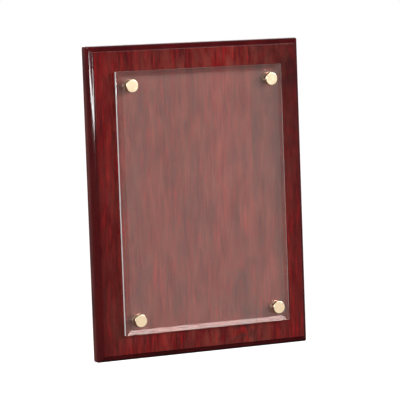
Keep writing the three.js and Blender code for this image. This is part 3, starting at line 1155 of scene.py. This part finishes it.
tree.links.new(both.outputs[0], tree.nodes["Material Output"].inputs["Surface"])

# The flat edges and the holes' walls are ground, not polished, so they look pale grey.
ground_glass, tree, surface = new_material(
    "ground_glass", IOR=1.5, Transmission_Weight=0.15
)
here = add_node(tree, "TexCoord").outputs["Object"]
grinding = noise(tree, here, (900, 900, 900), detail=4, roughness=0.7)
chatter = noise(tree, here, (260, 3000, 260), detail=2)
tree.links.new(
    colours(tree, grinding, (0.3, 0.86, 0.89, 0.90), (0.7, 0.96, 0.97, 0.97)),
    surface.inputs["Base Color"],
)
tree.links.new(remap(tree, chatter, 0.3, 0.7, 0.28, 0.5), surface.inputs["Roughness"])
roughen(tree, surface, weigh(tree, (grinding, 0.6), (chatter, 0.4)), depth=0.01 * MM)

coat(glass, clear_glass)
glass.data.materials.append(ground_glass)
for face in glass.data.polygons:
    if abs(face.normal.y) < 0.3:
        face.material_index = 1
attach(glass, "plaque")
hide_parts("glass_panel")

# ---- The cap nuts ----------------------------------------------------------------------
# Turned brass caps with a flat face and a small chamfer, tapped M4 from behind, satin
# polished like the spacers. Each one unscrews by itself to free the glass.

CAP_BORE, CAP_BORE_DEPTH = 2.15 * MM, 3.2 * MM
cap_low, cap_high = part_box("cap_top_left")
cap = add_disc(
    "cap_nut_top_left_turned", first_corner, STANDOFF_RADIUS, cap_low.y, cap_high.y, 96
)
bore = add_disc(
    "tapping_drill", first_corner, CAP_BORE, cap_high.y - CAP_BORE_DEPTH, cap_high.y + OVERCUT
)
cut(cap, bore)
round_rim(cap, first_corner, STANDOFF_RADIUS, cap_low.y, CAP_CHAMFER, 5)
round_rim(cap, first_corner, STANDOFF_RADIUS, cap_high.y, EDGE_BREAK, 3)
map_about_axis(cap, first_corner)
finish(cap, brass)
at_every_standoff(cap, "cap", "cap_nut_turned", "cap_nut_{corner}")

# ---- The room --------------------------------------------------------------------------
# A pale floor well below the hanging plaque, a pale backdrop of plain light, softboxes in
# front and to the right, a fill and a narrow strip at the left, and a fill behind.

FLOOR_SIZE, FLOOR_HEIGHT = 80, -0.6
LIGHT_DISTANCE = 2.6

bpy.ops.object.select_all(action="DESELECT")
bpy.ops.mesh.primitive_plane_add(size=FLOOR_SIZE, location=(0, 0, FLOOR_HEIGHT))
floor = bpy.context.object
floor.name = "floor"
floor_finish, tree, surface = new_material(
    "pale_floor", Roughness=0.8, Emission_Color=(1, 1, 1, 1), Emission_Strength=0.95
)
here = add_node(tree, "TexCoord").outputs["Object"]
mottling = noise(tree, here, (3, 3, 3), detail=3)
floor_colour = colours(tree, mottling, (0.3, 0.86, 0.86, 0.86), (0.7, 0.90, 0.90, 0.90))
tree.links.new(floor_colour, surface.inputs["Base Color"])
floor.data.materials.append(floor_finish)
floor.visible_glossy = False
floor.visible_diffuse = False
floor.visible_transmission = False

world = bpy.data.worlds.new("studio")
world.use_nodes = True
scene.world = world
tree = world.node_tree
background = tree.nodes["Background"]
towards_sky = add_node(tree, "TexCoord").outputs["Generated"]
_, depth, height = add_node(tree, "SeparateXYZ", {0: towards_sky}).outputs
in_front = colours(
    tree,
    remap(tree, height, -0.8, 0.9),
    (0.0, 0.04, 0.04, 0.04),
    (0.5, 0.10, 0.10, 0.10),
    (1.0, 0.05, 0.05, 0.05),
)
behind = colours(
    tree,
    remap(tree, height, -0.8, 0.9),
    (0.0, 0.05, 0.05, 0.05),
    (0.45, 0.16, 0.16, 0.16),
    (0.75, 0.55, 0.55, 0.55),
    (1.0, 0.10, 0.10, 0.10),
)
studio_light = mix(tree, remap(tree, depth, -0.2, 0.5), in_front, behind)
seen = add_node(tree, "LightPath").outputs["Is Camera Ray"]
seen_or_lit = mix(tree, seen, studio_light, (1.0, 1.0, 1.0, 1))
tree.links.new(seen_or_lit, background.inputs["Color"])


def add_softbox(name, azimuth, elevation, width, height, radiance, tint=(1, 1, 1), tilt=0):
    """A flat light that faces the plaque. Its place and its size are angles, in degrees, as
    the plaque sees them; azimuth counts from straight in front towards the right."""
    data = bpy.data.lights.new(name, "AREA")
    data.shape = "RECTANGLE"
    data.size = 2 * LIGHT_DISTANCE * tan(radians(width / 2))
    data.size_y = 2 * LIGHT_DISTANCE * tan(radians(height / 2))
    data.energy = radiance * pi * data.size * data.size_y
    data.color = tint
    light = bpy.data.objects.new(name, data)
    a, e = radians(azimuth), radians(elevation)
    away = Vector((sin(a) * cos(e), -cos(a) * cos(e), sin(e)))
    facing = away.to_track_quat("Z", "Y").to_matrix() @ Matrix.Rotation(radians(tilt), 3, "Z")
    light.matrix_world = Matrix.Translation(away * LIGHT_DISTANCE) @ facing.to_4x4()
    light.visible_camera = False
    scene.collection.objects.link(light)


# The first two are mirrored by the face and the glass; the strip, by the left moulding.
add_softbox("mirrored_panel", 29, -2, 56, 44, 0.77, (1.0, 0.83, 0.75))
add_softbox("upper_haze", 8, 13, 20, 20, 1.2)
add_softbox("right_key", 38, 20, 30, 20, 11.0)
add_softbox("left_fill", -85, 24, 40, 34, 5.0)
add_softbox("left_strip", -44, -0.1, 42, 1.1, 30, tilt=-3.5)
add_softbox("back_fill", 158, 32, 50, 40, 3.0)
